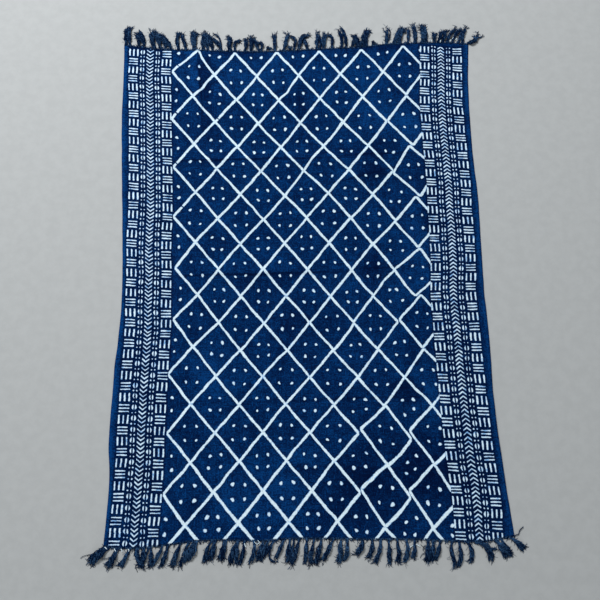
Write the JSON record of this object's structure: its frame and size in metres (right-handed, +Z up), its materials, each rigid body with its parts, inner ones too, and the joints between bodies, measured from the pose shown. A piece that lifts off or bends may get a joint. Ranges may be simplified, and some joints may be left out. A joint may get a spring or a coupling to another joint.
{
  "type": "indigo throw",
  "caption": "Cotton throw laid out flat, dyed indigo with a white diamond lattice, dots and patterned side borders, with a yarn fringe at each end, for a bed, sofa or floor.",
  "frame": {"origin": "under the middle of the whole throw with its fringes, on the surface it lies on", "axes": "+Z up out of the printed face, +Y along the warp to the far fringe, +X to the right"},
  "size_m": [1.3706, 1.916, 0.008],
  "materials": {
    "indigo_cotton": "matt hand-woven cotton, deep indigo with a bluish white resist print",
    "indigo_yarn": "matt loosely twisted cotton yarn, dark indigo"
  },
  "bodies": {
    "root": {"throw_cloth": "indigo_cotton", "fringe_far": "indigo_yarn", "fringe_near": "indigo_yarn"}
  },
  "joints": []
}
